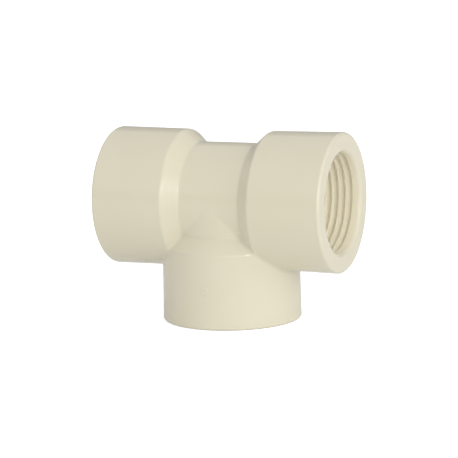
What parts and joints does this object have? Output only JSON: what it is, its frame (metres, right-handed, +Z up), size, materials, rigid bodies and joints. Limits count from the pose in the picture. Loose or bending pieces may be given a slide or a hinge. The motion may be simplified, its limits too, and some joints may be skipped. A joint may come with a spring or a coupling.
{
  "type": "threaded pipe tee",
  "caption": "Equal pipe tee in glossy ivory PVC, with a female pipe thread inside each end of the run and inside the branch.",
  "frame": {"origin": "centre of the branch's end face, at the middle of the object's footprint, so the tee stands on its branch", "axes": "+X along the run towards the right mouth, +Y away from the viewer along the shortest side, +Z up, against the way the branch points"},
  "size_m": [0.0596, 0.0342, 0.0469],
  "materials": {
    "ivory_pvc": "moulded, semi-gloss, warm ivory, slightly translucent"
  },
  "bodies": {
    "root": {"junction_body": "ivory_pvc", "left_collar": "ivory_pvc", "right_collar": "ivory_pvc", "branch_collar": "ivory_pvc"}
  },
  "joints": []
}
